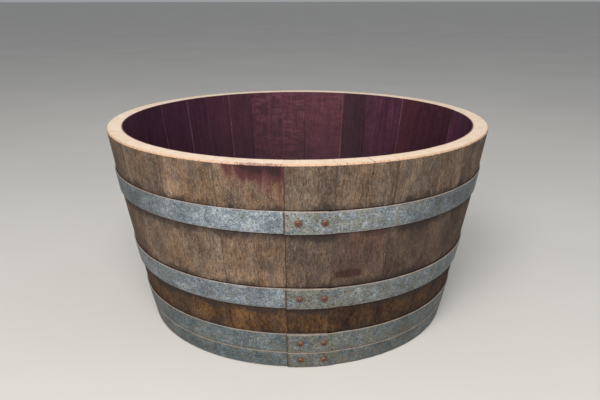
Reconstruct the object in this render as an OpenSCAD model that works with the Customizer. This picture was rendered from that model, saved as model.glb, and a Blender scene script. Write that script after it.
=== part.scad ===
// Half wine barrel: an oak cask sawn across at the bilge, standing on its head end.
// Origin at the middle of the foot, +Z up, millimetres.

/* [Cask] */
// Height from the foot to the sawn rim
cask_height = 363; // [345:1:420]
// Outside radius at the sawn rim, under the hoops
rim_radius = 350; // [330:1:370]
// Outside radius at the foot
foot_radius = 283; // [270:1:295]
// How far the middle of a stave stands out from a straight line between rim and foot
stave_bow = 3.6; // [0:0.2:8]
// Thickness of a stave
stave_thickness = 28; // [24:0.5:32]
// Direction of the joint at the front of the cask, anticlockwise from +X
front_joint = 265.7; // [260:0.1:272]

/* [Chime and croze] */
// Thickness left at the foot end of a stave by the inner bevel
chime_land = 15; // [10:0.5:20]
// Height of the inner bevel at the foot
chime_bevel = 24; // [15:1:26]
// Depth of the groove that holds the head
croze_depth = 5; // [4:0.5:7]
// Width of the groove that holds the head
croze_width = 6; // [5:0.5:8]

/* [Head] */
// Height of the underside of the head above the foot
head_height = 36; // [34:1:45]
// Thickness of the head boards
head_thickness = 22; // [18:1:26]
// Number of boards in the head
board_count = 7; // [5:1:8]
// Turn of the head boards about the vertical
board_turn = 20; // [0:5:90]
// Diameter of the dowels between the boards
dowel_d = 8; // [6:0.5:10]
// Length of the dowels between the boards
dowel_length = 36; // [24:2:44]

/* [Hoops] */
// Width of the upper three straps
strap_width = 37.5; // [34:0.5:40]
// Width of the strap round the foot
chime_strap_width = 31; // [28:0.5:31]
// Thickness of the straps
strap_thickness = 2; // [1.5:0.1:3]
// Height of the lower edge of the bilge hoop
bilge_hoop_z = 254; // [240:1:260]
// Height of the lower edge of the quarter hoop
quarter_hoop_z = 121; // [110:1:140]
// Height of the lower edge of the head hoop
head_hoop_z = 33; // [33:0.5:36]
// Height of the lower edge of the chime hoop
chime_hoop_z = 1.5; // [1.5:0.1:1.8]
// Direction of the free ends of the straps, anticlockwise from +X
lap_start = 265.6; // [260:0.1:272]
// Length of the laps
lap_length = 84; // [78:1:100]
// How much lower the free end of a strap sits than the strap under it
lap_drop = 1; // [0:0.1:1]
// Length over which the strap steps down again behind the lap
joggle_length = 20; // [15:1:30]

/* [Rivets] */
// Diameter of the rivet heads
rivet_head_d = 11; // [9:0.5:12]
// Height of the rivet heads
rivet_head_h = 3.2; // [2.5:0.1:4]
// Diameter of the rivet shanks
rivet_shank_d = 5; // [4:0.5:6]
// Distance of the first rivet from the free end of the strap
rivet_edge = 20.5; // [15:0.5:22]
// Distance between the two rivets of a lap
rivet_pitch = 38; // [34:1:40]

/* [Hidden] */
// Widths of the staves at the rim, from the front joint round to itself. They are
// scaled to close the circle, so only their proportions matter.
stave_widths = [
    75, 95, 85, 65, 85, 75, 90, 75, 65, 60, 55, 105, 60, 100,
    60, 80, 60, 65, 55, 85, 80, 65, 75, 60, 100, 100, 100, 105
];
stave_count = len(stave_widths);
two_digits = [for (i = [1:stave_count]) str(i < 10 ? "0" : "", i)];
stave_names = [for (i = [0:stave_count - 1]) str("stave_", two_digits[i])];
board_names = [for (i = [1:board_count]) str("head_board_", i)];
hoop_names = ["bilge_hoop", "quarter_hoop", "head_hoop", "chime_hoop"];
rivet_names = ["bilge_rivets", "quarter_rivets", "head_rivets", "chime_rivets"];

$fn = 240;

oak_colours = ["#8b735c", "#7d6856", "#927760"];
head_oak = "#7b5a4c";
galvanised = "#8d989c";
rusty = "#84584a";

// Lower and upper edge of each hoop, in the order of hoop_names.
hoop_edges = [
    [bilge_hoop_z, bilge_hoop_z + strap_width],
    [quarter_hoop_z, quarter_hoop_z + strap_width],
    [head_hoop_z, head_hoop_z + strap_width],
    [chime_hoop_z, chime_hoop_z + chime_strap_width]
];

croze_low = head_height + (head_thickness - croze_width) / 2;
croze_high = croze_low + croze_width;
croze_radius = inner_r((croze_low + croze_high) / 2) + croze_depth;
head_bevel = 8;
lap_bite = 0.2;
board_width = 2 * croze_radius / board_count;
dowel_z = head_height + head_thickness / 2;

// Outside radius of the bent staves at a height.
function outer_r(z) =
    let (t = z / cask_height)
    foot_radius + (rim_radius - foot_radius) * t + 4 * stave_bow * t * (1 - t);

function inner_r(z) = outer_r(z) - stave_thickness;

// The staves run straight under each hoop, so the straps bear on them all over.
function bearing_heights() =
    [for (i = [len(hoop_edges) - 1:-1:0]) each hoop_edges[i]];

function sum_to(list, n) = n <= 0 ? 0 : list[n - 1] + sum_to(list, n - 1);

total_width = sum_to(stave_widths, stave_count);
function joint_angle(i) = front_joint + 360 * sum_to(stave_widths, i) / total_width;

// Radial section of a stave: back, sawn top, inside face, croze and chime bevel.
function stave_section() =
    let (
        back = [for (z = concat([0], bearing_heights(), [cask_height])) [outer_r(z), z]],
        inside_heights = [cask_height, bilge_hoop_z, quarter_hoop_z, croze_high],
        inside = [for (z = inside_heights) [inner_r(z), z]],
        croze = [
            [croze_radius, croze_high],
            [croze_radius, croze_low],
            [inner_r(croze_low), croze_low]
        ],
        chime = [[inner_r(chime_bevel), chime_bevel], [outer_r(0) - chime_land, 0]]
    )
    concat(back, inside, croze, chime);

module stave(i) {
    color(oak_colours[i % len(oak_colours)])
        rotate([0, 0, joint_angle(i)])
            rotate_extrude(angle = joint_angle(i + 1) - joint_angle(i))
                polygon(stave_section());
}

// The whole head, bevelled above and below to the tongue that sits in the croze.
module head_disc() {
    rotate_extrude()
        polygon([
            [0, head_height],
            [inner_r(head_height) - head_bevel, head_height],
            [inner_r(croze_low), croze_low],
            [croze_radius, croze_low],
            [croze_radius, croze_high],
            [inner_r(croze_high), croze_high],
            [inner_r(croze_high) - head_bevel, head_height + head_thickness],
            [0, head_height + head_thickness]
        ]);
}

// Two dowels lie across the joint between board i and the next one.
module joint_dowels(i) {
    x = -croze_radius + i * board_width;
    half_chord = sqrt(pow(croze_radius, 2) - pow(x, 2));
    for (side = [-1, 1])
        translate([x - dowel_length / 2, side * half_chord / 2, dowel_z])
            rotate([0, 90, 0])
                cylinder(d = dowel_d, h = dowel_length);
}

module head_board(i) {
    color(head_oak)
        rotate([0, 0, board_turn])
            difference() {
                intersection() {
                    head_disc();
                    translate([-croze_radius + (i - 1) * board_width, -croze_radius, 0])
                        cube([board_width, 2 * croze_radius, cask_height / 2]);
                }
                if (i > 1) joint_dowels(i - 1);
                if (i < board_count) joint_dowels(i);
            }
}

module head_dowels() {
    color(head_oak)
        rotate([0, 0, board_turn])
            for (i = [1:board_count - 1])
                joint_dowels(i);
}

// The cone that a hoop bears on: its radius at a height, and its lean from upright.
function lean(edges) =
    (outer_r(edges[1]) - outer_r(edges[0])) / (edges[1] - edges[0]);
function cone_r(edges, z) = outer_r(edges[0]) + lean(edges) * (z - edges[0]);
function middle(edges) = (edges[0] + edges[1]) / 2;
function arc_angle(edges, length) = length / cone_r(edges, middle(edges)) * 180 / PI;

// Section of a strap that lies on the cone, lifted off it and moved down along it.
module strap_section(edges, lift = 0, drop = 0, bite = 0) {
    low = edges[0] - drop;
    high = edges[1] - drop;
    polygon([
        [cone_r(edges, low) + lift - bite, low],
        [cone_r(edges, low) + lift + strap_thickness, low],
        [cone_r(edges, high) + lift + strap_thickness, high],
        [cone_r(edges, high) + lift - bite, high]
    ]);
}

// Places its children on the outer face of the lap, with +Z along the rivet.
module on_lap(edges, distance) {
    z = middle(edges) - lap_drop / 2;
    rotate([0, 0, lap_start + arc_angle(edges, distance)])
        translate([cone_r(edges, z) + 2 * strap_thickness, 0, z])
            rotate([0, 90 + atan(lean(edges)), 0])
                children();
}

// The strap's outer end, planed down at its far side to the strap that it crosses. It
// bites a little into that strap, so that the two make one solid.
module lap(edges) {
    joggle = arc_angle(edges, joggle_length);
    difference() {
        rotate([0, 0, lap_start])
            rotate_extrude(angle = arc_angle(edges, lap_length))
                strap_section(edges, strap_thickness, lap_drop, lap_bite);
        rotate([0, 0, lap_start + arc_angle(edges, lap_length)])
            translate([cone_r(edges, middle(edges)) + strap_thickness, 0, middle(edges)])
                rotate([0, atan(lean(edges)), atan(strap_thickness / joggle_length) - joggle / 2])
                    translate([0, -2 * joggle_length, -strap_width])
                        cube([strap_width, 3 * joggle_length, 2 * strap_width]);
    }
}

module hoop(edges) {
    color(galvanised)
        difference() {
            union() {
                rotate_extrude()
                    strap_section(edges);
                lap(edges);
            }
            for (distance = [rivet_edge, rivet_edge + rivet_pitch])
                on_lap(edges, distance)
                    translate([0, 0, -3 * strap_thickness])
                        cylinder(d = rivet_shank_d, h = 4 * strap_thickness);
        }
}

// A domed head on a shank that ends just short of the staves.
module rivet(edges) {
    dome_r = (pow(rivet_head_d / 2, 2) + pow(rivet_head_h, 2)) / (2 * rivet_head_h);
    shank = 2 * strap_thickness * cos(atan(lean(edges))) - 0.1;
    intersection() {
        translate([0, 0, rivet_head_h - dome_r])
            sphere(r = dome_r);
        cylinder(d = rivet_head_d + 1, h = rivet_head_h + 1);
    }
    translate([0, 0, -shank])
        cylinder(d = rivet_shank_d, h = shank);
}

module rivets(edges) {
    color(rusty)
        for (distance = [rivet_edge, rivet_edge + rivet_pitch])
            on_lap(edges, distance)
                rivet(edges);
}

for (i = [0:stave_count - 1])
    stave(i);
for (i = [1:board_count])
    head_board(i);
head_dowels();
for (i = [0:len(hoop_names) - 1])
    hoop(hoop_edges[i]);
for (i = [0:len(rivet_names) - 1])
    rivets(hoop_edges[i]);
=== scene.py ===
"""Looks of the half wine barrel: oak staves, galvanised hoops, rivets and head boards."""
import math
import random

import bpy
import numpy as np
from mathutils import Matrix, Vector, noise


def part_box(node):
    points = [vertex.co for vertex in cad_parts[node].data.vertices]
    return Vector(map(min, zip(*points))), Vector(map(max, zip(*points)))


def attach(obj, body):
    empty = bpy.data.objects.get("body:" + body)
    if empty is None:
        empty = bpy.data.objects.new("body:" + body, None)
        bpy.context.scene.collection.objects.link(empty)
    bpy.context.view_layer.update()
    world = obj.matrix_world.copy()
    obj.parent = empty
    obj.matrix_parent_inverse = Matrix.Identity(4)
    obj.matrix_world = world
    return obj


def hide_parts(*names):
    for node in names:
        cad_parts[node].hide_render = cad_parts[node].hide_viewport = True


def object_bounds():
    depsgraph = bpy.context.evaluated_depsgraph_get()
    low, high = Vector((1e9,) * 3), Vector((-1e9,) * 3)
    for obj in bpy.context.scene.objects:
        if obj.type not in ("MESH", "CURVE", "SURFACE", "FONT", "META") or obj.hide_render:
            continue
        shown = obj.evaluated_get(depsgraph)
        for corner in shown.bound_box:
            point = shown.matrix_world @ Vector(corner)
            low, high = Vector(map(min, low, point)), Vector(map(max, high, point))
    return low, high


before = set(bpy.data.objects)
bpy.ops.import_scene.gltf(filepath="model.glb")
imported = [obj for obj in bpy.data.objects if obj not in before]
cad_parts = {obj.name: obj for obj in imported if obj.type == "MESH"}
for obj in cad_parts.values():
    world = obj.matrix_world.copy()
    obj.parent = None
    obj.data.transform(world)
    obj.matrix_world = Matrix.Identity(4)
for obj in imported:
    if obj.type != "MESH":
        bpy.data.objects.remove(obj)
cad_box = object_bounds()

# Sizes of the cask, in metres. They say what the CAD model says.
HEIGHT = cad_box[1][2]
RIM_RADIUS = (cad_box[1][0] - cad_box[0][0]) / 2
FOOT_RADIUS = 0.283
BOW = 0.0036
STAVE_THICKNESS = 0.028
CHIME_LAND = 0.015
CHIME_BEVEL = 0.024
CROZE_LOW, CROZE_HIGH, CROZE_DEPTH = 0.044, 0.050, 0.005
HEAD_LOW, HEAD_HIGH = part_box("head_board_4")[0].z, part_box("head_board_4")[1].z
HEAD_BEVEL = 0.008
BOARD_COUNT = 7
BOARD_TURN = math.radians(20)
STRAP_THICKNESS = 0.002
LAP_START = math.radians(265.6)
LAP_LENGTH, JOGGLE_LENGTH, LAP_DROP = 0.084, 0.020, 0.001
RIVET_EDGE, RIVET_PITCH = 0.0205, 0.038
RIVET_RADIUS, RIVET_HEIGHT = 0.0055, 0.0032
FRONT_JOINT = 265.7  # degrees, anticlockwise from +X
FULL_TURN = 2 * math.pi

# Wear, in metres: how far the corners between staves are rounded back, how far back a stave
# may lie, how uneven, torn and chipped the staves are, and the straps' wear, nicks and dents.
CORNER = 0.0006
SUNK = 0.0004
UNEVEN, TORN, CHIPPED = 0.0003, 0.0011, 0.0022
FOOT_EASE, RIM_EASE = 0.0012, 0.0004
STRAP_WEAR, NICK, DENT = 0.0004, 0.00022, 0.00012
# The eased outer corner of the rim: how far in and how far down its points are.
EASED_RIM = ((0.0, 0.0028), (0.0002, 0.0019), (0.0006, 0.0010), (0.0012, 0.0003), (0.0018, 0.0))
# A rivet head from its rim to its middle: shares of its radius and of its height. Knocked
# about, it is a little smaller than the CAD model's.
RIVET_PROFILE = (
    (1.0, -0.05), (1.0, 0.12), (0.97, 0.30), (0.90, 0.52), (0.80, 0.72), (0.70, 0.84), (0.60, 0.86),
    (0.52, 0.78), (0.46, 0.66), (0.40, 0.60), (0.34, 0.63), (0.26, 0.76), (0.16, 0.86), (0.07, 0.89)
)
RIVET_SHRINK = 0.93

# How finely the pieces are divided: rows up a stave, the first one's height, and the width of
# its columns, and steps along the straight side and the round end of a head board.
OUTSIDE_ROWS, INSIDE_ROWS = 58, 42
FIRST_ROW = 0.002
COLUMN_WIDTH = 0.0038
SIDE_STEPS, END_STEPS = 24, 14

# The camera that was fitted to the photograph, in millimetres, metres and radians.
CAMERA_LENS = 38.27
CAMERA_PLACE = (-0.0225, -1.2008, 0.5891)
CAMERA_TURN = (math.pi / 2 - 0.3154, 0.0009, -0.0228)
FLOOR_REACH = 40

HOOPS = ["bilge_hoop", "quarter_hoop", "head_hoop", "chime_hoop"]
STAVES = sorted(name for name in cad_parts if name.startswith("stave_"))
# The zones of a stave, which are also the numbers of its materials.
OUTSIDE, RIM, INSIDE, FOOT = range(4)
# How dull the zinc of each hoop is, from the top: in front, and how much painted shade darkens it more
# at the sides.
DULLNESS_AND_SHADE = ((0.04, 0.54), (0.30, 0.08), (0.18, 0.20), (0.24, 0.20))


def outer_radius(z):
    """Outside radius of the bent staves at a height."""
    t = z / HEIGHT
    return FOOT_RADIUS + (RIM_RADIUS - FOOT_RADIUS) * t + 4 * BOW * t * (1 - t)


def inner_radius(z):
    """Inside radius of the staves at a height."""
    return outer_radius(z) - STAVE_THICKNESS


def hoop_edges(node):
    """Lower and upper edge of a hoop where it isn't lapped."""
    low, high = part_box(node)
    return low.z + LAP_DROP, high.z


EDGES = {node: hoop_edges(node) for node in HOOPS}
CROZE_RADIUS = inner_radius((CROZE_LOW + CROZE_HIGH) / 2) + CROZE_DEPTH


def smooth(value, low, high):
    """0 below low, 1 above high, and a soft step between; low may be the larger."""
    t = min(max((value - low) / (high - low), 0.0), 1.0)
    return t * t * (3 - 2 * t)


def wander(x, y=0.0, z=0.0):
    """Repeatable noise from about -1 to 1."""
    return noise.noise(Vector((x, y, z)))


# ---------------------------------------------------------------- node materials


def srgb(red, green, blue):
    """A colour given as 0 to 255 screen values, as the linear colour that nodes use."""
    def linear(value):
        value /= 255
        return value / 12.92 if value <= 0.04045 else ((value + 0.055) / 1.055) ** 2.4
    return (linear(red), linear(green), linear(blue), 1.0)


class Graph:
    """A material's node tree, with one short call for each kind of node."""

    def __init__(self, name, specular):
        self.material = bpy.data.materials.new(name)
        self.material.use_nodes = True
        self.tree = self.material.node_tree
        self.shader = self.tree.nodes["Principled BSDF"]
        self.shader.inputs["Specular IOR Level"].default_value = specular

    def put(self, value, socket):
        """Links a node's output to a socket, or sets the socket's own value."""
        if isinstance(value, bpy.types.NodeSocket):
            self.tree.links.new(value, socket)
        else:
            socket.default_value = value

    def node(self, kind, inputs=(), **settings):
        made = self.tree.nodes.new(kind)
        for key, value in settings.items():
            setattr(made, key, value)
        for key, value in dict(inputs).items():
            self.put(value, made.inputs[key])
        return made

    def attribute(self, name, output="Fac"):
        return self.node("ShaderNodeAttribute", attribute_name=name).outputs[output]

    def place(self):
        return self.node("ShaderNodeTexCoord").outputs["Object"]

    def split(self, vector):
        made = self.node("ShaderNodeSeparateXYZ", {"Vector": vector})
        return made.outputs["X"], made.outputs["Y"], made.outputs["Z"]

    def math(self, operation, a, b=0.0, clamp=False):
        made = self.node("ShaderNodeMath", {0: a, 1: b}, operation=operation)
        made.use_clamp = clamp
        return made.outputs[0]

    def add(self, *values):
        total = values[0]
        for value in values[1:]:
            total = self.math("ADD", total, value)
        return total

    def times(self, a, b):
        return self.math("MULTIPLY", a, b)

    def scaled(self, vector, x, y, z):
        inputs = {0: vector, 1: (x, y, z)}
        return self.node("ShaderNodeVectorMath", inputs, operation="MULTIPLY").outputs[0]

    def distance(self, vector, point):
        made = self.node("ShaderNodeVectorMath", {0: vector, 1: point}, operation="DISTANCE")
        return made.outputs["Value"]

    def along(self, vector, direction):
        inputs = {0: vector, 1: direction}
        made = self.node("ShaderNodeVectorMath", inputs, operation="DOT_PRODUCT")
        return made.outputs["Value"]

    def noise(self, vector, scale, detail=3.0, roughness=0.55, distortion=0.0):
        inputs = {"Vector": vector, "Scale": scale, "Detail": detail,
                  "Roughness": roughness, "Distortion": distortion}
        return self.node("ShaderNodeTexNoise", inputs).outputs["Fac"]

    def grained(self, along, scale, detail, roughness, distortion=0.0):
        """Noise in a stave, drawn out along the grain where along is less than 1."""
        grain = self.attribute("grain", "Vector")
        return self.noise(self.scaled(grain, 1, 1, along), scale, detail, roughness, distortion)

    def step(self, value, low, high, to_low=0.0, to_high=1.0):
        """A soft step of value from low to high, mapped to to_low and to_high."""
        inputs = {"Value": value, "From Min": low, "From Max": high,
                  "To Min": to_low, "To Max": to_high}
        made = self.node("ShaderNodeMapRange", inputs, interpolation_type="SMOOTHSTEP")
        return made.outputs["Result"]

    def ramp(self, factor, *stops):
        """Colours along a factor: stops are pairs of a position and a colour."""
        made = self.node("ShaderNodeValToRGB", {"Fac": factor})
        line = made.color_ramp.elements
        while len(line) < len(stops):
            line.new(0.5)
        for element, (position, colour) in zip(line, stops):
            element.position = position
            element.color = colour
        return made.outputs["Color"]

    def mix(self, factor, a, b, blend="MIX"):
        made = self.node("ShaderNodeMix", data_type="RGBA", blend_type=blend)
        for key, value in (("Factor_Float", factor), ("A_Color", a), ("B_Color", b)):
            socket = next(s for s in made.inputs if s.identifier == key)
            self.put(value, socket)
        return next(s for s in made.outputs if s.identifier == "Result_Color")

    def finish(self, colour, roughness, height=None, depth=None, metallic=0.0):
        """Wires up the shader. Height is in units of depth, which is in metres."""
        self.put(colour, self.shader.inputs["Base Color"])
        self.put(roughness, self.shader.inputs["Roughness"])
        self.put(metallic, self.shader.inputs["Metallic"])
        if height is not None:
            bump = self.node("ShaderNodeBump", {"Height": height, "Distance": depth})
            self.put(bump.outputs["Normal"], self.shader.inputs["Normal"])
        return self.material


def split_in_wood(g):
    """Where a split runs down from the rim to a hole, right of the front: both are painted dark as
    painted shade, since neither is cut into the mesh.
    """
    angle = math.radians(286.95)
    hole_height = 0.3445
    place = g.place()
    height = g.split(place)[2]
    facing = g.step(g.along(place, (math.cos(angle), math.sin(angle), 0)), 0.30, 0.32)
    bends = g.times(g.noise(place, 160, 3, 0.6), 0.0024)
    aside = g.along(place, (-math.sin(angle), math.cos(angle), 0))
    aside = g.math("ABSOLUTE", g.add(aside, bends, -0.0012))
    crack = g.times(g.step(aside, 0.0009, 0.0003), g.step(height, 0.341, 0.346))
    away = g.math("ABSOLUTE", g.math("SUBTRACT", height, hole_height))
    hole = g.step(g.add(aside, g.times(away, 0.4)), 0.0028, 0.0012)
    return g.times(g.math("MAXIMUM", crack, hole), facing)


def bare_oak(g, mottle, dashes, fibres, clouds):
    """Weathered grey and tan wood, before any stain. It is darker lower down: painted shade from the
    floor, with a brown tint, and below the bilge a darkening that is partly each stave's own tone and
    partly painted shade, strongest right of the front.
    """
    tone, warmth, streaks = g.split(g.attribute("stave", "Vector"))
    height = g.split(g.place())[2]
    below_bilge = g.step(height, 0.29, 0.25)
    below_quarter = g.step(height, 0.17, 0.12)
    grit = g.grained(0.55, 560, 3, 0.75)
    bands = g.grained(0.06, 75, 4, 0.6, 0.6)
    patches = g.grained(0.45, 30, 5, 0.68)
    speckle = g.add(g.times(mottle, g.step(streaks, 1.0, 0.0, 0.35, 1.05)),
                    g.times(dashes, g.step(streaks, 0.0, 1.0, 0.45, 1.15)), g.times(grit, 0.95))
    light = g.add(speckle, g.times(fibres, 0.3), g.times(bands, 0.28), g.times(clouds, 1.05),
                  g.times(tone, 0.34))
    low_mottle = g.times(below_quarter, g.math("SUBTRACT", g.add(mottle, clouds), 0.97))
    light = g.add(light, g.times(low_mottle, 0.9), -1.75)
    grey = g.ramp(light, (0.02, srgb(40, 34, 31)), (0.33, srgb(88, 74, 64)),
                  (0.58, srgb(118, 101, 87)), (0.95, srgb(164, 145, 127)))
    tan = g.ramp(light, (0.02, srgb(44, 33, 26)), (0.33, srgb(94, 73, 56)),
                 (0.58, srgb(128, 102, 79)), (0.95, srgb(172, 143, 115)))
    warm = g.add(g.step(patches, 0.36, 0.64), warmth, g.times(below_quarter, 0.4))
    colour = g.mix(g.times(g.math("SUBTRACT", warm, 0.55, clamp=True), 0.9), grey, tan)
    # Partly painted shade: below the bilge the staves are darkened, most of all right of the front.
    low_tone_and_shade = g.times(below_bilge, g.attribute("low_tone_and_shade"))
    colour = g.mix(low_tone_and_shade, colour, srgb(196, 190, 190), "MULTIPLY")
    # Painted shade: the staves are darkened and tinted brown towards the floor.
    return g.mix(below_quarter, colour, srgb(178, 158, 130), "MULTIPLY")


def with_pores_and_mould(g, colour, pores, mottle):
    """Short dark pores and drying checks along the grain, and old mould in soft clouds."""
    colour = g.mix(g.step(pores, 0.56, 0.67, 0.0, 0.66), colour, srgb(42, 33, 30))
    mould = g.grained(0.6, 30, 5, 0.72)
    spots = g.step(g.add(mould, g.times(mottle, 0.35)), 0.66, 0.88)
    return g.mix(g.times(spots, 0.6), colour, srgb(58, 53, 52))


def with_hoop_stains_and_shadow(g, colour, ragged, mottle):
    """Iron and water have stained the wood beside the hoops, and a dark line of dirt and painted shadow
    sits against them, widest below each hoop.
    """
    places = g.grained(0.7, 19, 4, 0.65)
    for side, reach, amount, crust_and_shadow_reach in (("over", 0.026, 0.35, 0.0004), ("under", 0.034, 0.46, 0.0018)):
        distance = g.attribute(side)
        near = g.times(g.step(distance, reach, 0.0), amount)
        stain = g.add(near, g.times(places, 0.75), g.times(ragged, 0.45))
        colour = g.mix(g.step(stain, 0.82, 1.05, 0.0, 0.80), colour, srgb(44, 37, 36))
        # Dirt and painted shadow: a dark line against each hoop's edge, wider below the hoop, where the
        # strap shades the wood.
        crust_and_shadow = g.step(g.add(distance, g.times(mottle, 0.004)), crust_and_shadow_reach + 0.0036, crust_and_shadow_reach + 0.0012)
        colour = g.mix(g.times(crust_and_shadow, 0.75), colour, srgb(34, 26, 23))
    return colour


def with_joints_and_smear(g, colour, ragged, mottle):
    """Joints, of which a few are open and dark, and one dark smear on the second stave."""
    edge = g.attribute("edge")
    colour = g.mix(g.step(edge, 0.004, 0.0, 0.0, 0.12), colour, srgb(52, 42, 36))
    open_joint = g.times(g.step(edge, 0.0008, 0.0002), g.attribute("open"))
    colour = g.mix(open_joint, colour, srgb(30, 22, 19))
    smear = g.add(g.attribute("smudge"), g.times(ragged, 0.9), g.times(mottle, 0.5))
    return g.mix(g.step(smear, 0.95, 1.50, 0.0, 0.82), colour, srgb(43, 30, 25))


def with_wine(g, colour, mottle, dashes, clouds):
    """Wine that ran down over the sawn rim: a thin tint, burgundy, and black where it stood."""
    runs = g.grained(0.10, 150, 4, 0.7)
    wine = g.add(g.attribute("wine"), g.times(runs, 0.85), g.times(mottle, 0.5),
                 g.times(dashes, 0.3), g.times(clouds, 0.35))
    colour = g.mix(g.step(wine, 1.22, 1.70, 0.0, 0.40), colour, srgb(100, 54, 56))
    colour = g.mix(g.step(wine, 1.50, 1.85, 0.0, 0.82), colour, srgb(71, 33, 40))
    return g.mix(g.step(wine, 1.90, 2.32, 0.0, 0.85), colour, srgb(42, 29, 31))


def oak_outside():
    """Weathered oak: a fine grey and tan mottle, blackened where iron and water have been, with painted
    shade low down, right of the front and under the hoops.
    """
    g = Graph("oak_outside", 0.18)
    mottle = g.grained(0.42, 330, 4, 0.75)
    dashes = g.grained(0.11, 400, 4, 0.70)
    fibres = g.grained(0.03, 900, 4, 0.6)
    clouds = g.grained(0.55, 24, 5, 0.68)
    pores = g.grained(0.16, 680, 3, 0.65)
    ragged = g.grained(0.45, 100, 5, 0.75)
    colour = bare_oak(g, mottle, dashes, fibres, clouds)
    colour = with_pores_and_mould(g, colour, pores, mottle)
    colour = with_hoop_stains_and_shadow(g, colour, ragged, mottle)
    colour = with_joints_and_smear(g, colour, ragged, mottle)
    colour = with_wine(g, colour, mottle, dashes, clouds)
    # Painted shade in the split and the hole.
    colour = g.mix(g.times(split_in_wood(g), 0.85), colour, srgb(28, 24, 24))
    rough = g.step(dashes, 0.3, 0.7, 0.74, 0.92)
    height_map = g.add(g.times(fibres, 0.6), g.times(dashes, 0.7), g.times(pores, -0.7))
    return g.finish(colour, rough, height_map, 0.0007)


def with_depth_shade_and_sediment(g, colour, bands):
    """Painted shade, darker towards the bottom of the inside, and sediment that has dried pale along
    some joints.
    """
    height = g.split(g.place())[2]
    # Painted shade: the inside wall darkens towards the bottom.
    depth_shade = g.step(g.add(height, g.times(bands, 0.05)), 0.42, 0.13, 0.0, 0.9)
    colour = g.mix(depth_shade, colour, srgb(42, 22, 30))
    edge = g.attribute("edge")
    breaks = g.grained(0.35, 34, 5, 0.75)
    chosen = g.times(g.step(g.attribute("open"), 0.14, 0.34), g.step(breaks, 0.34, 0.60))
    pale = g.times(g.step(edge, 0.0026, 0.0006, 0.0, 0.55), chosen)
    colour = g.mix(pale, colour, srgb(132, 90, 98))
    return g.mix(g.step(edge, 0.0008, 0.0003, 0.0, 0.6), colour, srgb(36, 18, 24))


def oak_inside():
    """Wine-soaked oak, deep purple to rosy, with curly figure on some staves."""
    g = Graph("oak_inside", 0.25)
    grain = g.attribute("grain", "Vector")
    tone, warmth, figure = g.split(g.attribute("stave", "Vector"))
    fibres = g.grained(0.03, 700, 5, 0.6)
    dashes = g.grained(0.2, 380, 4, 0.7)
    bands = g.grained(0.05, 85, 4, 0.65, 0.5)
    blots = g.grained(0.6, 44, 5, 0.7)
    curl = g.noise(g.scaled(grain, 0.5, 1, 1.3), 75, 4, 0.6, 1.2)
    light = g.add(g.times(fibres, 0.3), g.times(dashes, 0.75), g.times(bands, 0.6),
                  g.times(g.times(g.math("SUBTRACT", curl, 0.5), figure), 1.15), g.times(tone, 0.42))
    light = g.add(light, g.times(blots, 0.5), -0.99)
    purple = g.ramp(light, (0.0, srgb(35, 17, 31)), (0.4, srgb(65, 31, 50)),
                    (0.8, srgb(101, 54, 78)))
    rosy = g.ramp(light, (0.0, srgb(39, 17, 24)), (0.4, srgb(73, 32, 42)),
                  (0.8, srgb(111, 58, 69)))
    colour = with_depth_shade_and_sediment(g, g.mix(warmth, purple, rosy), bands)
    height_map = g.add(fibres, g.times(dashes, 0.4))
    rough = g.step(bands, 0.3, 0.7, 0.5, 0.75)
    return g.finish(colour, rough, height_map, 0.0005)


def with_rim_marks(g, colour, grain):
    """What has coloured the sawn rim, from outside to inside: weather, nicks, and wine."""
    depth, edge = g.attribute("depth"), g.attribute("edge")
    ragged = g.times(g.noise(grain, 260, 4, 0.7), 0.004)
    outside = g.step(g.math("SUBTRACT", depth, ragged), 0.0016, -0.0006)
    colour = g.mix(g.times(outside, 0.58), colour, srgb(178, 130, 92))
    specks = g.noise(grain, 420, 3, 0.6)
    nicks = g.step(g.add(specks, g.step(depth, 0.006, 0.0, 0.0, 0.18)), 0.72, 0.82)
    colour = g.mix(g.times(nicks, 0.7), colour, srgb(98, 68, 52))
    splash = g.add(g.times(g.attribute("wine"), 0.5), specks, g.step(depth, 0.009, 0.0, 0.0, 0.35))
    colour = g.mix(g.step(splash, 1.34, 1.47, 0.0, 0.65), colour, srgb(120, 76, 82))
    inward = g.math("SUBTRACT", STAVE_THICKNESS, depth)
    soaked = g.step(g.math("SUBTRACT", inward, ragged), 0.0012, -0.0008)
    colour = g.mix(g.times(soaked, 0.8), colour, srgb(120, 66, 74))
    return g.mix(g.step(edge, 0.0006, 0.0001, 0.0, 0.28), colour, srgb(120, 88, 66))


def oak_sawn():
    """The freshly sawn rim: pale end grain with saw marks, coloured along its edges."""
    g = Graph("oak_sawn", 0.25)
    grain = g.attribute("grain", "Vector")
    tone = g.split(g.attribute("stave", "Vector"))[0]
    rings = g.noise(g.scaled(grain, 1, 0.12, 1), 420, 4, 0.65)
    pores = g.noise(g.scaled(grain, 1, 0.5, 1), 1300, 2, 0.5)
    cloud = g.noise(grain, 60, 4, 0.65)
    saw = g.noise(g.scaled(g.place(), 0.35, 1, 1), 300, 3, 0.6)
    light = g.add(g.times(rings, 0.45), g.times(pores, 0.2), g.times(cloud, 0.5),
                  g.times(saw, 0.25), g.times(tone, 0.08))
    colour = g.ramp(light, (0.42, srgb(180, 152, 127)), (0.68, srgb(219, 197, 174)),
                    (0.95, srgb(234, 217, 199)))
    colour = with_rim_marks(g, colour, grain)
    # Painted shade in the split and the hole.
    colour = g.mix(g.times(split_in_wood(g), 0.7), colour, srgb(60, 50, 46))
    height_map = g.add(g.times(rings, 0.5), g.times(saw, 0.8), g.times(pores, 0.4))
    return g.finish(colour, 0.82, height_map, 0.0004)


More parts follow.
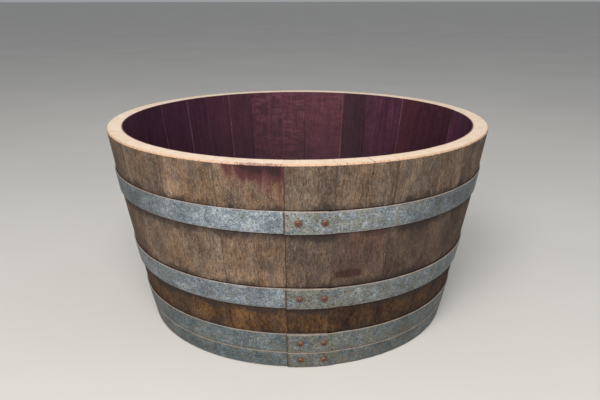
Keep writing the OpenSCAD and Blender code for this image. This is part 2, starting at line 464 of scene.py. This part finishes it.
def oak_foot():
    """Dirty, worn end grain of the foot, the chime bevel and the sides of the staves."""
    g = Graph("oak_foot", 0.15)
    grain = g.attribute("grain", "Vector")
    rings = g.noise(g.scaled(grain, 1, 0.15, 0.2), 420, 4, 0.6)
    cloud = g.noise(grain, 60, 4, 0.65)
    light = g.add(g.times(rings, 0.6), g.times(cloud, 0.6))
    colour = g.ramp(light, (0.3, srgb(48, 38, 32)), (0.6, srgb(104, 86, 70)),
                    (0.9, srgb(140, 120, 98)))
    return g.finish(colour, 0.86, rings, 0.0006)


def zinc_colour(g, strap, cloud, mottle, fine):
    """Mottled zinc with white bloom, pits and scratches, greener low down and with age, and darkened
    towards the sides by painted shade.
    """
    grit = g.noise(strap, 600, 3, 0.75)
    light = g.add(g.times(cloud, 0.95), g.times(mottle, 0.9), g.times(fine, 1.8), -1.36)
    colour = g.ramp(light, (0.05, srgb(60, 69, 77)), (0.36, srgb(104, 115, 124)),
                    (0.60, srgb(143, 153, 161)), (0.92, srgb(206, 212, 216)))
    bloom = g.step(g.add(g.times(mottle, 0.55), g.times(grit, 0.55)), 0.59, 0.69)
    colour = g.mix(g.times(bloom, 0.42), colour, srgb(208, 213, 216))
    pits = g.step(grit, 0.42, 0.32)
    colour = g.mix(g.times(pits, 0.5), colour, srgb(68, 70, 70))
    low_down = g.step(g.split(g.place())[2], 0.12, 0.07)
    colour = g.mix(g.times(low_down, 0.62), colour, srgb(160, 170, 164), "MULTIPLY")
    olive = g.add(g.noise(strap, 48, 5, 0.72), g.attribute("aged"))
    colour = g.mix(g.step(olive, 0.50, 0.76, 0.0, 0.6), colour, srgb(122, 118, 96))
    # Dullness of each hoop, and painted shade that darkens it towards the sides.
    colour = g.mix(g.attribute("dull_and_shade"), colour, srgb(112, 108, 102), "MULTIPLY")
    slant = g.node("ShaderNodeVectorRotate", {"Vector": strap, "Angle": 0.9}).outputs["Vector"]
    lines = g.noise(g.scaled(slant, 0.10, 1.0, 1.0), 520, 2, 0.6, 0.6)
    scratches = g.times(g.step(lines, 0.63, 0.70), g.step(cloud, 0.50, 0.62))
    return g.mix(g.times(scratches, 0.6), colour, srgb(206, 212, 214))


def rust_amount(g, strap, mottle, fine, rivet_points):
    """Specks, stretches of the cut edges, the ends of the straps, and halos at the rivets."""
    specks = g.add(g.noise(strap, 270, 3, 0.68), g.times(g.attribute("aged"), 0.35))
    specks = g.step(specks, 0.585, 0.67, 0.0, 0.80)
    stretches = g.step(g.noise(g.scaled(strap, 1, 0, 0), 22, 4, 0.7), 0.48, 0.58)
    cut_edge = g.math("SUBTRACT", g.attribute("gap"), g.times(mottle, 0.0020))
    cut_edge = g.times(g.times(g.step(cut_edge, 0.0006, -0.0004), stretches), 0.55)
    seam = g.math("SUBTRACT", g.attribute("seam"), g.times(fine, 0.0022))
    seam = g.step(seam, 0.0010, -0.0002, 0.0, 0.9)
    place = g.place()
    away = 1.0
    for point in rivet_points:
        away = g.math("MINIMUM", away, g.distance(place, point))
    halo = g.step(g.math("SUBTRACT", away, g.times(fine, 0.007)), 0.0042, 0.0012, 0.0, 0.7)
    return g.math("MAXIMUM", g.math("MAXIMUM", specks, cut_edge), g.math("MAXIMUM", seam, halo))


def rubbed_edges_and_highlight(g, strap, mottle, fine):
    """How far the edges of a strap are rubbed bright, and a painted highlight along the top edge, where
    it catches the light.
    """
    edges = g.step(g.add(g.attribute("gap"), g.times(mottle, 0.0020)), 0.0024, 0.0012, 0.0, 0.42)
    # Painted highlight: a pale line along the top edge of each strap.
    top_highlight = g.step(g.add(g.attribute("crown"), g.times(fine, 0.0040)), 0.0036, 0.0020)
    runs = g.step(g.noise(g.scaled(strap, 1, 0, 0), 34, 5, 0.75), 0.38, 0.62, 0.22, 0.66)
    return g.math("MAXIMUM", edges, g.times(top_highlight, runs))


def galvanised(rivet_points):
    """Old zinc on a steel strap, rusty in places, rubbed bright along its edges, and with a painted
    highlight along its top edge.
    """
    g = Graph("galvanised", 0.18)
    strap = g.attribute("strap", "Vector")
    cloud = g.noise(strap, 30, 5, 0.70)
    mottle = g.noise(strap, 105, 5, 0.75)
    fine = g.noise(strap, 360, 4, 0.80)
    colour = zinc_colour(g, strap, cloud, mottle, fine)
    rust = rust_amount(g, strap, mottle, fine, rivet_points)
    rust_colour = g.ramp(fine, (0.3, srgb(50, 36, 29)), (0.55, srgb(86, 65, 49)),
                         (0.8, srgb(132, 102, 74)))
    colour = g.mix(rust, colour, rust_colour)
    # Rubbed edges, and the painted highlight along the top edge.
    colour = g.mix(rubbed_edges_and_highlight(g, strap, mottle, fine), colour, srgb(194, 172, 155))
    rough = g.math("ADD", g.step(mottle, 0.3, 0.7, 0.46, 0.64), g.times(rust, 0.25))
    height_map = g.add(g.times(mottle, 0.6), g.times(fine, 0.4), g.times(rust, 0.4))
    return g.finish(colour, rough, height_map, 0.0003, g.step(rust, 0.0, 0.6, 0.15, 0.05))


def rusted():
    """The rivets: brown, coppery in patches, with painted shade darkening the sunk ring of each head.
    """
    g = Graph("rusted", 0.4)
    place = g.place()
    cloud = g.noise(place, 420, 4, 0.65)
    fine = g.noise(place, 1800, 3, 0.6)
    hollow = g.attribute("hollow")
    # Painted shade: the sunk ring of each head is darker.
    light = g.add(g.times(cloud, 0.6), g.times(fine, 0.5), g.times(hollow, -0.45))
    colour = g.ramp(light, (0.15, srgb(36, 24, 23)), (0.45, srgb(90, 59, 50)),
                    (0.65, srgb(134, 95, 79)), (0.85, srgb(192, 156, 136)))
    rough = g.step(cloud, 0.3, 0.7, 0.4, 0.65)
    return g.finish(colour, rough, g.add(cloud, g.times(fine, 0.5)), 0.0002, 0.4)


def head_wood(name, dark, middle, pale):
    """One face of the head boards, with the grain along the boards."""
    g = Graph(name, 0.25)
    grain = g.attribute("grain", "Vector")
    tone = g.split(g.attribute("stave", "Vector"))[0]
    fibres = g.noise(g.scaled(grain, 1, 0.03, 1), 700, 5, 0.6)
    bands = g.noise(g.scaled(grain, 1, 0.07, 1), 80, 4, 0.6, 0.8)
    cloud = g.noise(g.scaled(grain, 1, 0.6, 1), 14, 5, 0.65)
    light = g.add(g.times(fibres, 0.5), g.times(bands, 0.6), g.times(cloud, 0.6),
                  g.times(tone, 0.35))
    colour = g.ramp(g.math("SUBTRACT", light, 0.45), (0.15, dark), (0.55, middle), (0.95, pale))
    edge = g.attribute("edge")
    colour = g.mix(g.step(edge, 0.0014, 0.0004, 0.0, 0.8), colour, srgb(28, 18, 20))
    rough = g.step(cloud, 0.35, 0.65, 0.5, 0.8)
    return g.finish(colour, rough, g.add(fibres, bands), 0.0006)


# ---------------------------------------------------------------- pieces


def make_piece(name, points, faces, materials, face_materials, node, sharp=38):
    """A mesh in the cask's own frame that rides on the root body and stands for a node."""
    mesh = bpy.data.meshes.new(name)
    mesh.from_pydata([tuple(p) for p in points], [], faces)
    for material in materials:
        mesh.materials.append(material)
    mesh.polygons.foreach_set("material_index", face_materials)
    mesh.shade_smooth()
    mesh.set_sharp_from_angle(angle=math.radians(sharp))
    mesh.validate()
    piece = bpy.data.objects.new(name, mesh)
    bpy.context.scene.collection.objects.link(piece)
    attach(piece, "root")
    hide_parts(node)
    return piece


def give(piece, marks):
    """Stores a mesh's numbers and vectors, given as one dictionary for each of its points."""
    for name in marks[0]:
        values = np.array([mark[name] for mark in marks], dtype=np.float32)
        kind, field = ("FLOAT", "value") if values.ndim == 1 else ("FLOAT_VECTOR", "vector")
        layer = piece.data.attributes.new(name, kind, "POINT")
        layer.data.foreach_set(field, values.ravel())


def span(node):
    """First and last angle of a node about the cask's axis."""
    points = np.array([v.co[:2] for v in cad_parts[node].data.vertices])
    middle = math.atan2(points[:, 1].mean(), points[:, 0].mean())
    turn = np.arctan2(points[:, 1], points[:, 0]) - middle
    turn = (turn + math.pi) % FULL_TURN - math.pi
    return middle + turn.min(), middle + turn.max()


def hoop_distances(z):
    """How far a height is above the hoop below it, and below the hoop above it."""
    over = min([z - high for low, high in EDGES.values() if z >= high] + [1.0])
    under = min([low - z for low, high in EDGES.values() if z <= low] + [1.0])
    covered = any(low < z < high for low, high in EDGES.values())
    return (0.0, 0.0) if covered else (over, under)


def stave_section():
    """The outline of a stave in radius and height, with the zone that each stretch is in."""
    line = [(outer_radius(0) - FOOT_EASE, 0.0, OUTSIDE)]
    line.append((outer_radius(FIRST_ROW), FIRST_ROW, OUTSIDE))
    even_height = HEIGHT - 0.014
    for i in range(1, OUTSIDE_ROWS):
        z = FIRST_ROW + even_height * i / OUTSIDE_ROWS
        line.append((outer_radius(z), z, OUTSIDE))
    for drop in (0.0125, 0.009, 0.0065, 0.0045, 0.0031):
        line.append((outer_radius(HEIGHT - drop), HEIGHT - drop, OUTSIDE))
    for inset, drop in EASED_RIM:
        line.append((outer_radius(HEIGHT - drop) - inset, HEIGHT - drop, RIM))
    for share in (0.08, 0.15, 0.3, 0.5, 0.7, 0.85, 0.95, 1.0):
        inset = RIM_EASE + share * (STAVE_THICKNESS - 2 * RIM_EASE)
        line.append((RIM_RADIUS - inset, HEIGHT, RIM))
    top = HEIGHT - 0.002
    for z in (HEIGHT - 0.0006, top):
        line.append((inner_radius(z), z, INSIDE))
    for i in range(1, INSIDE_ROWS):
        z = top - (top - CROZE_HIGH) * i / INSIDE_ROWS
        line.append((inner_radius(z), z, INSIDE))
    line += [(inner_radius(CROZE_HIGH), CROZE_HIGH, FOOT), (CROZE_RADIUS, CROZE_HIGH, FOOT),
             (CROZE_RADIUS, CROZE_LOW, FOOT), (inner_radius(CROZE_LOW), CROZE_LOW, FOOT)]
    for z in (0.036, 0.030, CHIME_BEVEL):
        line.append((inner_radius(z), z, FOOT))
    start, end = inner_radius(CHIME_BEVEL), outer_radius(0) - CHIME_LAND
    for share in (0.33, 0.66, 0.97):
        line.append((start + (end - start) * share, CHIME_BEVEL * (1 - share), FOOT))
    line.append((end + 0.0008, 0.0, FOOT))
    return line


def wine_marks(angle, z):
    """Where wine is on the outside: spilt and splashed at the rim, and a tint on one stave."""
    degrees = math.degrees(angle) % 360
    drop = HEIGHT - z
    reach = 0.068 + 0.030 * smooth(degrees, 257, 263) + 0.030 * wander(degrees * 0.45, 3.1)
    across = smooth(degrees, 243.5, 256.5) * smooth(degrees, 266.0, 265.4)
    blotches = 0.30 * wander(degrees * 0.55, z * 42, 5.0) + 0.25 * wander(degrees * 1.3, z * 95, 9.0)
    spill = (0.92 + blotches) * across * smooth(drop, reach, 0.0)
    spill += 0.46 * smooth(abs(degrees - 260.0), 8.0, 2.0) * smooth(drop, 0.032, 0.002) * across
    splash = 0.70 * smooth(degrees, 268.6, 266.0) * smooth(drop, 0.014, 0.0)
    on_second_stave = smooth(degrees, 278.0, 278.6) * smooth(degrees, 293.8, 292.0)
    tinted = 0.38 * on_second_stave * smooth(z, 0.140, 0.175) * smooth(z, 0.275, 0.255)
    return max(spill, splash * (degrees > FRONT_JOINT), tinted)


def smudge(angle, z):
    """A broken dark smear across the second stave, as strong as it gets at 1."""
    degrees = math.degrees(angle) % 360
    broken = 1 + 0.5 * wander(degrees * 1.1, z * 130, 2.0)
    return broken * smooth(abs(degrees - 283), 5.6, 2.2) * smooth(abs(z - 0.1808), 0.012, 0.003)


# How pale, how warm, and how streaky or curly a stave is, by its number. The outside shows
# on the staves in front and the inside on those at the back. A stave that isn't listed is
# left to chance.
STAVE_LOOKS = {
    1: (0.44, 0.26, 0.50), 2: (0.40, 0.20, 0.60), 3: (0.38, 0.05, 0.45), 4: (0.50, 0.22, 0.35),
    5: (0.30, 0.45, 0.30), 6: (0.30, 0.30, 0.30), 7: (0.80, 0.00, 0.00), 8: (0.90, 0.00, 0.00),
    9: (0.42, 0.55, 0.35), 10: (0.36, 0.60, 0.45), 11: (0.42, 0.75, 0.20), 12: (0.75, 0.15, 0.30),
    13: (0.12, 0.50, 0.20), 14: (1.00, 0.75, 0.60), 15: (0.92, 0.85, 1.00), 16: (0.82, 0.60, 1.00),
    17: (0.40, 0.45, 0.35), 18: (0.46, 0.25, 0.10), 19: (0.48, 0.12, 0.10), 20: (0.52, 0.04, 0.10),
    21: (0.50, 0.00, 0.00), 22: (0.85, 0.00, 0.00), 23: (1.10, 0.00, 0.00), 24: (1.20, 0.00, 0.00),
    25: (0.30, 0.50, 0.25), 26: (0.50, 0.36, 0.15), 27: (0.72, 0.55, 0.05), 28: (0.66, 0.62, 0.15)
}
# How dark the lower part of a stave is: partly its own tone and partly painted shade, most on the
# staves right of the front, where the light falls off. Some have a value of their own.
USUAL_LOW_TONE_AND_SHADE = 0.30
STAVE_LOW_TONE_AND_SHADE = {
    2: 0.75, 3: 0.85, 4: 0.75, 5: 0.75, 6: 0.70, 25: 0.35, 26: 0.10, 27: 0.00, 28: 0.10
}
# How far open the joint before a stave is. One not listed is left to chance.
OPEN_JOINTS = {
    1: 0.85, 3: 0.45, 9: 0.30, 10: 0.08, 11: 0.10, 12: 0.36, 13: 0.10, 14: 0.30, 16: 0.24,
    18: 0.36, 19: 0.10, 20: 0.34, 21: 0.50, 22: 0.10, 23: 0.20, 27: 0.35, 28: 0.60
}


def shares_across(width):
    """Where the points across a stave lie, from 0 to 1, with one close to each corner."""
    columns = max(8, round(width / COLUMN_WIDTH))
    inner = [i / columns for i in range(1, columns)]
    return [0.0, CORNER / width] + inner + [1 - CORNER / width, 1.0]


def worn(zone, radius, z, arc, edge, shift, sunk):
    """Where a point of a stave ends up when the corners are rounded and the rim is chipped."""
    corner = max(0.0, 1 - edge / CORNER)
    uneven = UNEVEN * (1 + wander(arc * 30 + shift, z * 9, radius * 40))
    torn = TORN * max(0.0, wander(arc * 260 + shift, 7.7))
    chip = CHIPPED * smooth(wander(arc * 120 + shift, 2.2), 0.35, 0.7)
    if zone == OUTSIDE:
        rim_wear = torn * smooth(HEIGHT - z, 0.006, 0.0) + chip * smooth(HEIGHT - z, 0.009, 0.0)
        return radius - sunk - uneven - 0.0004 * corner - rim_wear, z
    if zone == RIM:
        outer_share = smooth(RIM_RADIUS - radius, 0.004, 0.0)
        sag = 0.0001 + 0.00025 * (1 + wander(arc * 55 + shift, radius * 60)) + 0.0003 * corner
        return (radius - outer_share * (sunk + uneven + torn + chip),
                z - sag - 0.3 * chip * outer_share)
    if zone == INSIDE:
        return radius + uneven + 0.0005 * corner, z
    return radius + 0.0004 * corner, z


def stave_faces(section, count):
    """Faces round a stave's outline, its two sides, and the zone that each face is in."""
    rows = len(section)
    faces, zones = [], []
    for row in range(rows):
        after = (row + 1) % rows
        for column in range(count - 1):
            faces.append((row * count + column, row * count + column + 1,
                          after * count + column + 1, after * count + column))
            zones.append(max(section[row][2], section[after][2]) if after else FOOT)
    faces.append([row * count for row in range(rows)])
    faces.append([row * count + count - 1 for row in reversed(range(rows))])
    return faces, zones + [FOOT, FOOT]


def add_stave(number, node, joints, materials, rng):
    """A stave with worn edges, a chipped sawn end, a croze and a chime bevel."""
    start, stop = span(node)
    across = shares_across((stop - start) * RIM_RADIUS)
    section = stave_section()
    shift, sunk = rng.uniform(0, 40), rng.uniform(0, SUNK)
    chance = (rng.random(), rng.random(), rng.random() ** 2)
    looks = {"stave": STAVE_LOOKS.get(number, chance), "low_tone_and_shade": STAVE_LOW_TONE_AND_SHADE.get(number, USUAL_LOW_TONE_AND_SHADE)}
    points, marks = [], []
    for radius, z, zone in section:
        over, under = hoop_distances(z)
        depth = outer_radius(z) - radius
        for share in across:
            angle = start + (stop - start) * share
            arc = (share - 0.5) * (stop - start) * radius
            edge = min(share, 1 - share) * (stop - start) * radius
            r, h = worn(zone, radius, z, arc, edge, shift, sunk)
            points.append((r * math.cos(angle), r * math.sin(angle), max(h, 0.0)))
            marks.append(looks | {
                "grain": (arc + shift, depth + number * 0.31, z + shift * 0.7),
                "depth": depth, "edge": edge, "over": over, "under": under,
                "wine": wine_marks(angle, z) if zone in (OUTSIDE, RIM) else 0.0,
                "smudge": smudge(angle, z) if zone == OUTSIDE else 0.0,
                "open": joints[0] if share < 0.5 else joints[1],
            })
    faces, zones = stave_faces(section, len(across))
    piece = make_piece("oak_" + node, points, faces, materials, zones, node)
    give(piece, marks)


def lean(node):
    """How fast the cone under a hoop widens with height."""
    low, high = EDGES[node]
    return (outer_radius(high) - outer_radius(low)) / (high - low)


def lap_angle(node, length):
    """The angle that a length along a hoop takes up."""
    return length / outer_radius(sum(EDGES[node]) / 2)


def strap_outline(width):
    """Section of a strap: distance from its lower edge, and from its inner face."""
    r = STRAP_THICKNESS * 0.35
    top, outer = width - r, STRAP_THICKNESS - r
    corners = [(top, outer, 90), (top, r, 0), (r, r, -90), (r, outer, -180)]
    outline = []
    for i, (x, y, turn) in enumerate(corners):
        for angle in (turn, turn - 45, turn - 90):
            bend = math.radians(angle)
            outline.append((x + r * math.cos(bend), y + r * math.sin(bend)))
        side, level = corners[(i + 1) % 4][0] - x, outline[-1][1]
        if abs(side) > r:
            outline += [(x + side * step / 6, level) for step in range(1, 6)]
    return outline


def strap_turns(lap, joggle):
    """Angles along a strap from its free end, closer together wherever it bends or ends."""
    fine, coarse = math.radians(0.25), math.radians(0.75)
    turns = list(np.arange(0, lap + joggle, fine))
    turns += list(np.arange(turns[-1] + coarse, FULL_TURN - fine * 8, coarse))
    turns += list(np.linspace(FULL_TURN - fine * 8, FULL_TURN, 9))
    return turns + list(np.arange(FULL_TURN + fine, FULL_TURN + lap - joggle, fine))


def strap_marks(number, turn, ring, x, width, lifted):
    """What the zinc needs to know about a point of a strap, x from its lower edge."""
    free_end, far_end = smooth(turn, 0.9, 0.05), smooth(turn, 5.8, 5.2)
    in_front, side_shade = DULLNESS_AND_SHADE[number]
    return {
        "strap": (turn * ring + number * 3.7, x + number * 0.5, lifted * 0.004),
        "seam": min(turn, abs(turn - FULL_TURN)) * ring,
        "gap": min(x, width - x),
        "crown": width - x,
        "aged": (0.11 - 0.02 * number) * free_end + 0.05 * far_end + 0.04 * (number > 0),
        "dull_and_shade": in_front + side_shade * smooth(math.cos(turn), 0.97, 0.70),
    }


def add_hoop(number, node, material):
    """A strap that goes once round and laps over its own inner end."""
    low, high = EDGES[node]
    slope = math.hypot(1, lean(node))
    ring = outer_radius((low + high) / 2)
    lap, joggle = lap_angle(node, LAP_LENGTH), lap_angle(node, JOGGLE_LENGTH)
    turns = strap_turns(lap, joggle)
    width = (high - low) * slope - 2 * STRAP_WEAR
    outline = strap_outline(width)
    level_again, clearance = 7 * lap, 0.00003
    points, marks = [], []
    for turn in turns:
        lifted = 1 - smooth(turn, lap - joggle, lap)
        dropped = 1 - smooth(turn, lap, level_again)
        dropped += smooth(turn, FULL_TURN, FULL_TURN + lap - joggle)
        spring = DENT * (1 + wander(turn * 9, number * 3.3)) if lifted < 0.5 else 0.0
        for x, y in outline:
            near_edge = min(x, width - x) < 0.001
            nick = wander(turn * 90, number * 5.1 + (x > width / 2)) if near_edge else 0.0
            z = low + (x + STRAP_WEAR + NICK * nick) / slope - LAP_DROP * dropped
            dent = DENT * wander(turn * 40, x * 160, number)
            radius = outer_radius(low) + lean(node) * (z - low) + y + lifted * STRAP_THICKNESS
            radius += spring + dent + clearance
            angle = LAP_START + turn
            points.append((radius * math.cos(angle), radius * math.sin(angle), z))
            marks.append(strap_marks(number, turn, ring, x, width, lifted))
    faces = tube_faces(len(turns), len(outline))
    piece = make_piece("steel_" + node, points, faces, [material], [0] * len(faces), node,
                       50)
    give(piece, marks)


def band_faces(rows, count, first=0):
    """Faces between rows of points, each a closed loop, from the point numbered first."""
    faces = []
    for row in range(rows - 1):
        start = first + row * count
        for i in range(count):
            j = (i + 1) % count
            faces.append((start + i, start + j, start + count + j, start + count + i))
    return faces


def tube_faces(rows, count):
    """Faces of a closed section swept along rows of points, with both ends closed."""
    end = (rows - 1) * count
    caps = [list(range(count - 1, -1, -1)), list(range(end, end + count))]
    return band_faces(rows, count) + caps


def rivet_places(node):
    """For each rivet of a hoop, the matrix from the rivet's own frame, +Z outwards."""
    middle = sum(EDGES[node]) / 2 - LAP_DROP / 2
    radius = outer_radius(EDGES[node][0]) + lean(node) * (middle - EDGES[node][0]) + 2 * STRAP_THICKNESS
    places = []
    for distance in (RIVET_EDGE, RIVET_EDGE + RIVET_PITCH):
        angle = LAP_START + lap_angle(node, distance)
        tilt = math.pi / 2 + math.atan(lean(node))
        places.append(Matrix.Rotation(angle, 4, "Z") @ Matrix.Translation((radius, 0, middle))
                      @ Matrix.Rotation(tilt, 4, "Y"))
    return places


def add_rivets(hoop, material, rng):
    """Two hammered rivet heads: a round shoulder, a sunk ring and a small raised middle."""
    node = hoop.replace("_hoop", "_rivets")
    around, rows = 40, len(RIVET_PROFILE)
    points, faces, marks = [], [], []
    for place in rivet_places(hoop):
        first = len(points)
        shift = rng.uniform(0, 50)
        for share, rise in RIVET_PROFILE:
            for i in range(around):
                angle = FULL_TURN * i / around
                rough = wander(math.cos(angle) * 1.6 + shift, math.sin(angle) * 1.6, share * 3)
                r = RIVET_RADIUS * share * (1 + 0.05 * rough) * RIVET_SHRINK
                h = RIVET_HEIGHT * min(rise * (1 + 0.10 * rough), 1.0)
                points.append(place @ Vector((r * math.cos(angle), r * math.sin(angle), h)))
                # The sunk ring is marked as hollow, which the rivet material darkens as painted shade.
                marks.append({"hollow": smooth(abs(share - 0.42), 0.16, 0.02)})
        top = len(points)
        last = top - around
        points.append(place @ Vector((0, 0, RIVET_HEIGHT * 0.9)))
        marks.append({"hollow": 0.0})
        faces += band_faces(rows, around, first)
        faces += [(last + i, last + (i + 1) % around, top) for i in range(around)]
        faces.append([first + i for i in reversed(range(around))])
    piece = make_piece("steel_" + node, points, faces, [material], [0] * len(faces), node,
                       60)
    give(piece, marks)


def round_end(radius, start, stop, steps):
    """Points on a circle from one angle up to, but not at, another."""
    angles = [start + (stop - start) * i / steps for i in range(steps)]
    return [(radius * math.cos(angle), radius * math.sin(angle)) for angle in angles]


def straight_side(radius, x, upwards):
    """Points along a chord of a disc, upwards (1) or downwards (-1), up to but not at its end."""
    half = math.sqrt(radius ** 2 - x ** 2) * upwards
    return [(x, half * (2 * i / SIDE_STEPS - 1)) for i in range(SIDE_STEPS)]


def board_outline(x_low, x_high, radius):
    """A strip of a disc, anticlockwise. At the edge of the disc it has one straight side."""
    if x_low <= -radius:
        turn = math.acos(x_high / radius)
        rest = round_end(radius, turn, FULL_TURN - turn, 3 * END_STEPS)
        return straight_side(radius, x_high, 1) + rest
    low_turn = math.acos(x_low / radius)
    left = straight_side(radius, x_low, -1)
    if x_high >= radius:
        return round_end(radius, -low_turn, low_turn, 3 * END_STEPS) + left
    high_turn = math.acos(x_high / radius)
    return (straight_side(radius, x_high, 1) + round_end(radius, high_turn, low_turn, END_STEPS)
            + left + round_end(radius, -low_turn, -high_turn, END_STEPS))


def board_levels():
    """The outlines of a head board from below: height, radius, inset, and distance from its edge.

    The first and the last lie inside the faces, and keep the dark of the joints to the edges.
    """
    ease, gap, inside = 0.0012, 0.00015, 0.003
    lower = inner_radius(HEAD_LOW) - HEAD_BEVEL - ease
    upper = inner_radius(CROZE_HIGH) - HEAD_BEVEL
    return [
        (HEAD_LOW, lower - inside, ease + inside, inside),
        (HEAD_LOW, lower, ease, 0.0),
        (HEAD_LOW + ease, lower + ease, gap, 0.0),
        (CROZE_LOW, inner_radius(CROZE_LOW), gap, 0.0),
        (CROZE_LOW, CROZE_RADIUS, gap, 0.0),
        (CROZE_HIGH, CROZE_RADIUS, gap, 0.0),
        (CROZE_HIGH, inner_radius(CROZE_HIGH), gap, 0.0),
        (HEAD_HIGH - ease, upper, gap, 0.0),
        (HEAD_HIGH, upper - ease, ease, 0.0),
        (HEAD_HIGH, upper - ease - inside, ease + inside, inside),
    ]


def add_head_board(number, materials, rng):
    """A head board with eased edges, bevelled at its ends to fit the croze."""
    node = f"head_board_{number}"
    width = 2 * CROZE_RADIUS / BOARD_COUNT
    x_low, x_high = -CROZE_RADIUS + (number - 1) * width, -CROZE_RADIUS + number * width
    shift = rng.uniform(0, 40)
    look = (rng.random(), rng.random(), rng.random())
    turn = Matrix.Rotation(BOARD_TURN, 3, "Z")
    levels = board_levels()
    points, marks = [], []
    for z, radius, inset, edge in levels:
        low = x_low + inset if number > 1 else -2 * radius
        high = x_high - inset if number < BOARD_COUNT else 2 * radius
        for x, y in board_outline(low, high, radius):
            points.append(turn @ Vector((x, y, z)))
            marks.append({"grain": (x + shift, y + shift * 0.3, z), "edge": edge, "stave": look})
    count = len(points) // len(levels)
    faces = tube_faces(len(levels), count)
    # The underside's wood goes up to and over the edge of the tongue in the croze.
    lower_bands, upper_bands = 5, 4
    sides = [0] * (lower_bands * count) + [1] * (upper_bands * count) + [0, 1]
    piece = make_piece("oak_" + node, points, faces, materials, sides, node)
    give(piece, marks)


# ---------------------------------------------------------------- stage


def add_camera():
    """The photograph's viewpoint: a little left of the middle, looking down."""
    data = bpy.data.cameras.new("camera")
    data.sensor_width = 36
    data.lens = CAMERA_LENS
    camera = bpy.data.objects.new("camera", data)
    camera.location = CAMERA_PLACE
    camera.rotation_euler = CAMERA_TURN
    bpy.context.scene.collection.objects.link(camera)
    bpy.context.scene.camera = camera


def add_floor():
    """A plain pale floor."""
    g = Graph("floor", 0.1)
    cloud = g.noise(g.place(), 1.5, 3, 0.5)
    colour = g.ramp(cloud, (0.2, srgb(204, 202, 198)), (0.8, srgb(212, 210, 206)))
    g.finish(colour, 0.9)
    mesh = bpy.data.meshes.new("floor")
    corners = [(x * FLOOR_REACH, y * FLOOR_REACH, 0) for x, y in ((-1, -1), (1, -1), (1, 1), (-1, 1))]
    mesh.from_pydata(corners, [], [(0, 1, 2, 3)])
    mesh.materials.append(g.material)
    floor = bpy.data.objects.new("floor", mesh)
    bpy.context.scene.collection.objects.link(floor)


def add_light(name, place, size, watts, colour):
    """A square soft box that faces the cask."""
    data = bpy.data.lights.new(name, "AREA")
    data.shape = "SQUARE"
    data.size = size
    data.energy = watts
    data.color = colour
    lamp = bpy.data.objects.new(name, data)
    lamp.location = place
    aim = Vector((0, 0, HEIGHT / 2)) - Vector(place)
    lamp.rotation_euler = aim.to_track_quat("-Z", "Y").to_euler()
    bpy.context.scene.collection.objects.link(lamp)


def add_lights():
    """An even sky, and a large key light high in front and a little to the left."""
    world = bpy.data.worlds.new("sky")
    world.use_nodes = True
    background = world.node_tree.nodes["Background"]
    background.inputs["Color"].default_value = (0.93, 0.96, 1.0, 1.0)
    background.inputs["Strength"].default_value = 0.35
    bpy.context.scene.world = world
    add_light("key", (-0.5, -2.7, 2.5), 2.2, 160, (1.0, 0.97, 0.93))
    add_light("fill", (2.2, -1.2, 1.8), 2.0, 5, (0.95, 0.97, 1.0))
    bpy.context.scene.view_settings.view_transform = "Standard"


def main():
    """The stage, and then every piece of the cask. The dowels keep their CAD mesh."""
    add_camera()
    add_floor()
    add_lights()
    rng = random.Random(28)
    stave_materials = [oak_outside(), oak_sawn(), oak_inside(), oak_foot()]
    joints = [OPEN_JOINTS.get(i + 1, rng.uniform(0.08, 0.35)) for i in range(len(STAVES))]
    for i, node in enumerate(STAVES):
        beside = (joints[i], joints[(i + 1) % len(joints)])
        add_stave(i + 1, node, beside, stave_materials, rng)
    rivet_points = [tuple(place.translation) for node in HOOPS for place in rivet_places(node)]
    zinc = galvanised(rivet_points)
    rust = rusted()
    for number, node in enumerate(HOOPS):
        add_hoop(number, node, zinc)
        add_rivets(node, rust, rng)
    under = head_wood("head_underside", srgb(54, 42, 34), srgb(112, 92, 74), srgb(150, 128, 104))
    upper = head_wood("head_upper", srgb(36, 18, 26), srgb(72, 38, 48), srgb(108, 66, 70))
    for number in range(1, BOARD_COUNT + 1):
        add_head_board(number, [under, upper], rng)
    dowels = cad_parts["head_dowels"]
    dowels.data.materials.clear()
    dowels.data.materials.append(under)


main()
